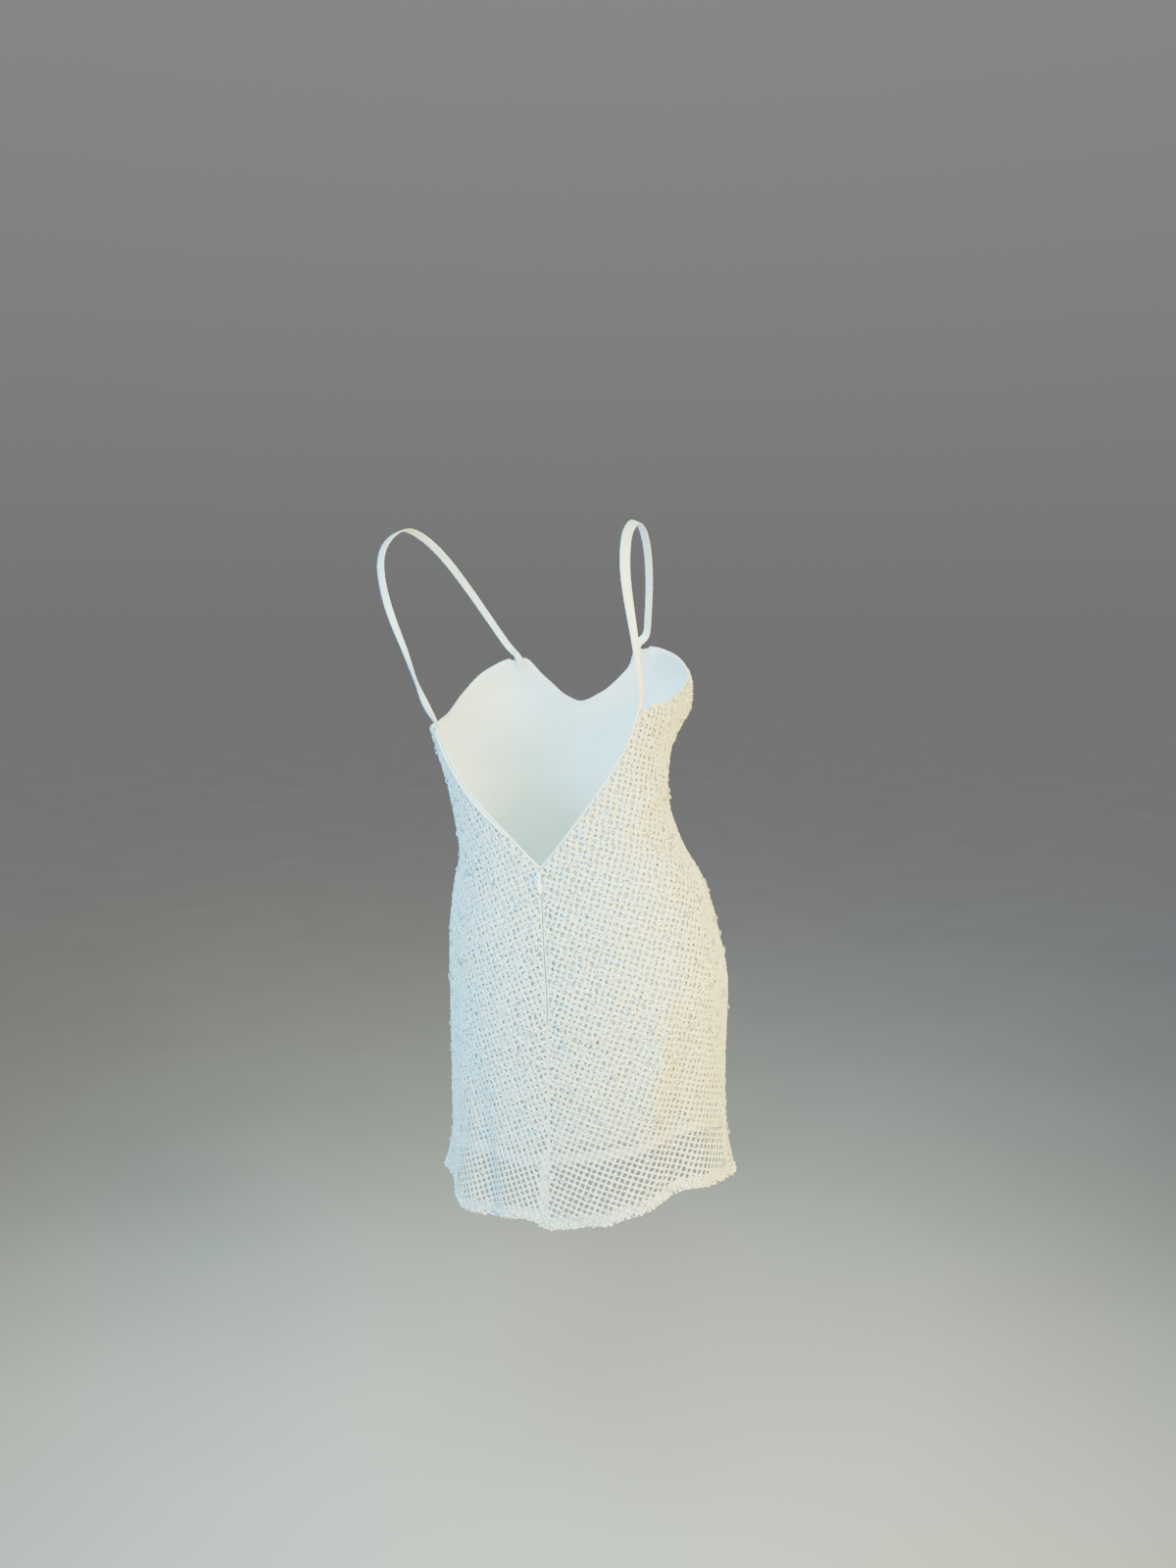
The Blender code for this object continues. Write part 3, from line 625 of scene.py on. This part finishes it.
def walled(spots, faces):
    """Points and faces of a wall round flat pieces, with a back where no lining hides it."""
    turn, height, lift = spots.T
    points = np.concatenate([cloth_point(turn, height, lift + 0.5 * NET_WALL),
                             cloth_point(turn, height, lift - 0.5 * NET_WALL)])
    edges = np.concatenate([faces[:, [k, (k + 1) % 4]] for k in range(4)])
    _, first, shared = np.unique(np.sort(edges, axis=1), axis=0, return_index=True,
                                 return_counts=True)
    rim = edges[first[shared == 1]]
    sides = np.stack([rim[:, 1], rim[:, 0], rim[:, 0] + len(spots), rim[:, 1] + len(spots)], 1)
    bare = ~lined_at(turn, height - 0.004)
    backs = faces[bare[faces].any(axis=1)][:, ::-1] + len(spots)
    return points, np.concatenate([faces, sides, backs])


def cloth_axes(turn, height):
    """For each spot, a matrix with columns along the turn, up the cloth and off it."""
    here = cloth_point(turn, height)
    ahead = cloth_point(turn + 0.4, height) - here
    above = cloth_point(turn, height + 0.003) - here
    ahead /= np.linalg.norm(ahead, axis=1)[:, None]
    off = np.cross(above, ahead)
    off /= np.linalg.norm(off, axis=1)[:, None]
    up = np.cross(ahead, off)
    return np.stack([ahead, up, off], axis=2)


def scatter(name, spots, out, sizes, shape, faces, material_name, rng, lean=0.0):
    """Copies of a shape on the cloth, each turned at random about the cloth's normal."""
    turn, height = spots[:, 0], spots[:, 1]
    axes = cloth_axes(turn, height)
    spin = rng.uniform(0.0, 2.0 * math.pi, len(spots))
    tip = rng.uniform(-lean, lean, len(spots))
    zeros, ones = np.zeros(len(spots)), np.ones(len(spots))
    about = np.array([[np.cos(spin), -np.sin(spin), zeros],
                      [np.sin(spin), np.cos(spin), zeros],
                      [zeros, zeros, ones]]).transpose(2, 0, 1)
    tilted = np.array([[ones, zeros, zeros],
                       [zeros, np.cos(tip), -np.sin(tip)],
                       [zeros, np.sin(tip), np.cos(tip)]]).transpose(2, 0, 1)
    axes = axes @ about @ tilted
    places = cloth_point(turn, height, out)
    return copies(name, places, axes, sizes, shape, faces, material_name)


def panel_grid(low_turn, high_turn, low, high, out=0.0, step=2.0, rows=60):
    turns = np.linspace(low_turn + SEAM_INSET, high_turn - SEAM_INSET,
                        int((high_turn - low_turn) / step) + 1)
    share = np.linspace(0.0, 1.0, rows + 1)[:, None]
    bottom, roof = low(turns), high(turns)
    heights = bottom + (roof - bottom) * share
    if callable(out):
        out = out(turns, heights)
    return cloth_point(turns, heights, out)


# ---------------------------------------------------------------- beads, sequins, net panels

BEAD_RADIUS = 0.0011
SEQUIN_RADIUS = 0.0033
SEQUIN_SHARE = 0.045         # of the crossings
LINE_BEADS = 0.42            # beads on this share of the lines, over the lining
HEM_BEADS = 0.10             # and in the open hem
CELL_BEADS = 0.20            # beads in this share of the holes, over the lining
CELL_RINGS = 0.50            # and rings of beads round this share of them
RING_RADIUS = 0.0030
EDGE_BEAD_TURN = 0.75        # degrees from one bead of the hem's edge to the next


def hem_edge(panel, rng):
    """Places of the crowded beads along the hem: turn, height and radius."""
    _, low_turn, high_turn, _, hem, _, _ = panel
    turns = []
    heights = []
    for row, rise in enumerate((-0.0012, 0.0014, 0.0044)):
        spots = np.arange(low_turn + 0.6, high_turn - 0.6, EDGE_BEAD_TURN * (1.0 + 0.5 * row))
        spots = spots + rng.uniform(-0.3, 0.3, len(spots))
        turns.append(spots)
        heights.append(smooth(hem, 1, spots) + rise + rng.uniform(-0.0016, 0.0014, len(spots)))
    turns = np.concatenate(turns)
    return np.stack([turns, np.concatenate(heights)], 1), rng.uniform(0.0012, 0.0022, len(turns))


def net_panel(panel):
    name, low_turn, high_turn, top, hem, _, _ = panel
    rng = np.random.default_rng(len(name) + 40)
    spots, faces, crossings, middles, holes = lattice(panel, rng)
    pieces = [(spots, faces), lattice(panel, rng, 0.45, HEM_LAYER, HEM_TURN_UP)[:2]]
    pieces.extend(selvedges(panel))
    used = 0
    for number, (spots, faces) in enumerate(pieces):
        pieces[number] = (spots, faces + used)
        used += len(spots)
    points, faces = walled(*(np.concatenate(part) for part in zip(*pieces)))
    net = mesh_object("net_" + name, points, faces, "net")

    share = np.where(lined_at(*middles.T), LINE_BEADS, HEM_BEADS)
    on_lines = middles[rng.random(len(middles)) < share]
    luck = np.where(lined_at(holes[:, 0], holes[:, 1] - OPEN_ABOVE), rng.random(len(holes)), 1.0)
    in_holes = holes[luck < CELL_BEADS]
    ringed = holes[(luck > CELL_BEADS) & (luck < CELL_BEADS + CELL_RINGS)]
    on_edge, edge_sizes = hem_edge(panel, rng)
    spots = np.concatenate([on_lines, in_holes, on_edge])
    out = np.concatenate([np.full(len(on_lines), 0.0007), np.full(len(in_holes), -0.0003),
                          rng.uniform(-0.0012, 0.0012, len(on_edge))])
    sizes = np.concatenate([BEAD_RADIUS * rng.uniform(0.7, 1.2, len(on_lines)),
                            BEAD_RADIUS * rng.uniform(0.9, 1.5, len(in_holes)), edge_sizes])
    ball, ball_faces = ico_shape()
    beads = scatter("beads_" + name, spots, out, sizes, ball, ball_faces, "bead", rng)

    torus, torus_faces = ring_shape([(0.55, 0.0), (0.80, 0.20), (1.0, 0.0)], 8)
    sizes = RING_RADIUS * rng.uniform(0.75, 1.15, len(ringed))
    rings = scatter("rings_" + name, ringed, 0.0005, sizes, torus, torus_faces, "net", rng,
                    lean=0.25)

    chosen = crossings[rng.random(len(crossings)) < SEQUIN_SHARE]
    profile = [(0.16, 0.10), (0.62, 0.0), (1.0, 0.28), (1.0, 0.34), (0.60, 0.07), (0.16, 0.17)]
    cup, cup_faces = ring_shape(profile, 12)
    sizes = SEQUIN_RADIUS * rng.uniform(0.8, 1.05, len(chosen))
    sequins = scatter("sequins_" + name, chosen, 0.0018, sizes, cup, cup_faces, "sequin", rng,
                      lean=0.35)

    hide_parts(name)
    for piece in (net, beads, rings, sequins):
        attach(piece, "dress")
    grid = panel_grid(low_turn, high_turn, lambda t: smooth(hem, 1, t),
                      lambda t: smooth(top, 1, t))


# ---------------------------------------------------------------- lining and edging

LINING_WALL = 0.0008
EDGING_BAND = 0.013
EDGING_GAP = 0.0004
# The openwork row between the band and the lining's cloth: turn, height of the row.
HEADER = [
    (-90.0, 0.014), (-76.0, 0.019), (-60.0, 0.018), (-46.0, 0.011), (-34.0, 0.008),
    (-12.0, 0.006), (4.0, 0.011), (18.0, 0.013), (30.0, 0.006), (50.0, 0.004),
    (90.0, 0.008), (180.0, 0.008), (240.0, 0.008), (270.0, 0.014),
]
HEADER_PITCH = 0.0052
HEADER_BAR = 0.0013


def header_foot(turn):
    return smooth(LINING_HEM, 1, turn) + EDGING_BAND + EDGING_GAP


def header_top(turn):
    return header_foot(turn) + smooth(HEADER, 1, turn)


def lining_out(turn, height):
    """How far the lining lies from the net's middle: close, and further in at the zip."""
    beside = np.exp(-(turn / ZIP_ROOM_TURN) ** 2)
    above = np.clip((height - ZIP_ROOM_FOOT) / 0.02 + 0.5, 0.0, 1.0)
    return -LINING_INSET - ZIP_ROOM * beside * above


def lining_panel(panel, trim=()):
    name, low_turn, high_turn, top, _, _, _ = panel
    grid = panel_grid(low_turn, high_turn, header_top, lambda t: smooth(top, 1, t), lining_out)
    # The outside of the lining carries the painted shade of the net's holes; its inside is the
    # white satin.
    made = sheet_object("lining_cloth_" + name, grid, LINING_WALL, "lining_back_painted_shade", "lining")
    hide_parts("lining_" + name)
    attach(made, "dress")

    # The edging is a solid band with a ladder of small bars above it.
    band = panel_grid(low_turn, high_turn, lambda t: smooth(LINING_HEM, 1, t),
                      header_foot, -LINING_INSET, rows=3)
    pieces = [band.reshape(-1, 3)]
    faces = [grid_faces(*band.shape[:2])]
    used = len(pieces[0])
    radius = 0.12
    step = math.degrees(HEADER_PITCH / radius)
    half = math.degrees(0.5 * HEADER_BAR / radius)
    middles = np.arange(low_turn + SEAM_INSET + half, high_turn - SEAM_INSET - half, step)
    for middle in middles:
        turns = np.array([middle - half, middle + half])
        heights = np.stack([header_foot(turns) - 0.0003, header_top(turns) + 0.0003])
        bar = cloth_point(turns, heights, -LINING_INSET)
        pieces.append(bar.reshape(-1, 3))
        faces.append(grid_faces(2, 2) + used)
        used += 4
    made = thicken(mesh_object("edging_" + name, np.concatenate(pieces), np.concatenate(faces),
                               "edging"), LINING_WALL)
    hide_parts("lining_edging_" + name)
    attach(made, "dress")


# ---------------------------------------------------------------- rolls, straps, zip

ROLL_RADIUS = 0.0015
ROLL_LIFT = 0.0010
# piece, panel, first turn, last turn
ROLLS = [
    ("edge_roll_v_left", "back_left", 0.6, 65.0),
    ("edge_roll_v_right", "back_right", -70.5, -0.6),
    ("edge_roll_armhole_left_back", "back_left", 72.0, 89.7),
    ("edge_roll_armhole_right_back", "back_right", -89.7, -77.0),
    ("edge_roll_armhole_left_front", "front", 90.3, 140.0),
    ("edge_roll_neck", "front", 146.0, 214.0),
    ("edge_roll_armhole_right_front", "front", 220.0, 269.7),
]


def edge_rolls():
    edges = {row[0]: row[3] for row in PANELS}
    for name, panel, first, last in ROLLS:
        turns = np.linspace(first, last, int((last - first) / 1.5) + 2)
        heights = smooth(edges[panel], 1, turns)
        points = cloth_point(turns, heights, -ROLL_INSET)
        points[:, 2] += ROLL_LIFT
        data = bpy.data.curves.new("shown_" + name, "CURVE")
        data.dimensions = "3D"
        data.bevel_depth = ROLL_RADIUS
        data.bevel_resolution = 3
        data.use_fill_caps = True
        line = data.splines.new("POLY")
        line.points.add(len(points) - 1)
        for slot, point in zip(line.points, points):
            slot.co = (*point, 1.0)
        data.materials.append(MATERIALS["lining"])
        made = bpy.data.objects.new("shown_" + name, data)
        bpy.context.scene.collection.objects.link(made)
        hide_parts(name)
        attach(made, "dress")


FACING_WIDTH = [(22.0, 0.0004), (34.0, 0.0035), (48.0, 0.0058), (65.0, 0.0090)]


def facing():
    """The lining rolled out over the left side of the V, widest at the strap."""
    turns = np.linspace(22.0, 64.8, 30)
    share = np.linspace(0.0, 1.0, 6)[:, None]
    edge = smooth(BACK_LEFT_TOP, 1, turns)
    heights = edge + 0.0008 - smooth(FACING_WIDTH, 1, turns) * (1.0 - share)
    out = 0.0016 + 0.0009 * np.sin(math.pi * share) - 0.0014 * share ** 3
    grid = cloth_point(turns, heights, out)
    made = sheet_object("facing_v_left", grid, 0.0006, "lining")
    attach(made, "dress")
    return made


def body_away(place, lean, along):
    away = (place - SHOULDER_MIDDLE) / SHOULDER_SIZE ** 2
    return Matrix.Rotation(math.radians(lean), 3, Vector(along)) @ Vector(away).normalized()


def strap(name, rows):
    """A flat satin ribbon with a soft crown."""
    free = np.array(rows)
    along = np.gradient(free[:, :3], axis=0)
    table = [(*row[:4], *body_away(row[:3], row[4], line)) for row, line in zip(free, along)]
    for spots, row in zip(STRAP_ENDS[name], (0, -1)):
        for turn, height, inset in spots:
            place = cloth_frame(turn, height, -inset)
            sewn = (*place.translation, free[row, 3], *place.col[1][:3])
            table.insert(0 if row == 0 else len(table), sewn)
    points = spline(table, 8)
    middle = points[:, :3]
    facing = points[:, 4:] / np.linalg.norm(points[:, 4:], axis=1)[:, None]
    across = np.cross(np.gradient(middle, axis=0), facing)
    across /= np.linalg.norm(across, axis=1)[:, None]
    half = 0.5 * points[:, 3:4]
    shares = np.linspace(-1.0, 1.0, 7)
    grid = np.stack([middle + across * half * share + facing * 0.0003 * (1.0 - share ** 2)
                     for share in shares], axis=0)
    made = sheet_object("ribbon_" + name, grid, 0.0009, "satin")
    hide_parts(name)
    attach(made, "dress")
    grid.transpose(1, 0, 2)


def zip_parts():
    # The tape gets the dark grey painted shade of the zip's gap.
    for name in ("zip_tape", "zip_slider", "zip_pull"):
        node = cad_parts[name]
        node.data.materials.clear()
        node.data.materials.append(MATERIALS[name])


# ---------------------------------------------------------------- stage, light, camera

CAMERA_PLACE = (-0.61280, 1.31415, -0.13)
CAMERA_HEADING = 21.6936     # degrees from -Y towards +X
CAMERA_PITCH = -6.750
CAMERA_LENS = 28.125         # millimetres, for a 36 mm side
FLOOR_HEIGHT = -1.42
LIGHT_SPREAD = 120.0         # degrees


def stage():
    bpy.ops.mesh.primitive_plane_add(size=80.0, location=(0.0, 0.0, FLOOR_HEIGHT))
    floor = bpy.context.object
    floor.name = "floor"
    made = bpy.data.materials.new("floor_paint")
    made.use_nodes = True
    shader = made.node_tree.nodes["Principled BSDF"]
    colour = ramp(made.node_tree, noise(made.node_tree, 3.0), (0.59, 0.58, 0.585),
                  (0.62, 0.61, 0.615))
    made.node_tree.links.new(colour, shader.inputs["Base Color"])
    shader.inputs["Roughness"].default_value = 0.9
    floor.data.materials.append(made)


def area_light(name, place, target, size, power, colour, spread=LIGHT_SPREAD):
    data = bpy.data.lights.new(name, "AREA")
    data.shape = "RECTANGLE"
    data.size, data.size_y = size
    data.energy = power
    data.color = colour
    data.spread = math.radians(spread)
    made = bpy.data.objects.new(name, data)
    made.location = place
    aim = Vector(target) - Vector(place)
    made.rotation_euler = aim.to_track_quat("-Z", "Y").to_euler()
    bpy.context.scene.collection.objects.link(made)


def lights():
    middle = (-0.06, -0.04, -0.5)
    area_light("high", (-0.39, 1.07, 0.74), middle, (0.9, 0.9), 10.0, (0.45, 1.0, 0.84), 90.0)
    area_light("cool_side", (0.60, 1.25, -0.25), middle, (0.7, 1.0), 26.0, (0.17, 0.64, 1.0))
    area_light("warm_side", (-1.35, 0.66, -0.25), middle, (0.7, 1.0), 38.0, (1.0, 0.76, 0.17))
    area_light("front_fill", (0.35, -1.45, 0.20), middle, (1.0, 1.2), 8.0, (1.0, 0.99, 0.97))
    world = bpy.data.worlds.new("studio")
    bpy.context.scene.world = world
    world.use_nodes = True
    tree = world.node_tree
    place = tree.nodes.new("ShaderNodeTexCoord")
    split = tree.nodes.new("ShaderNodeSeparateXYZ")
    tree.links.new(place.outputs["Generated"], split.inputs["Vector"])
    colour = ramp(tree, split.outputs["Z"], (0.175, 0.175, 0.175), (0.34, 0.34, 0.345), 0.0, 1.0)
    tree.links.new(colour, tree.nodes["Background"].inputs["Color"])


def camera():
    heading, pitch = math.radians(CAMERA_HEADING), math.radians(CAMERA_PITCH)
    forward = Vector((math.sin(heading) * math.cos(pitch),
                      -math.cos(heading) * math.cos(pitch), math.sin(pitch)))
    data = bpy.data.cameras.new("camera")
    data.lens = CAMERA_LENS
    data.sensor_width = 36.0
    made = bpy.data.objects.new("camera", data)
    made.location = CAMERA_PLACE
    made.rotation_euler = forward.to_track_quat("-Z", "Y").to_euler()
    bpy.context.scene.collection.objects.link(made)
    bpy.context.scene.camera = made


# ---------------------------------------------------------------- assembly

for panel in PANELS:
    net_panel(panel)
    lining_panel(panel, [facing()] if panel[0] == "back_left" else ())
edge_rolls()
strap("strap_left", STRAP_LEFT)
strap("strap_right", STRAP_RIGHT)
zip_parts()
stage()
lights()
camera()
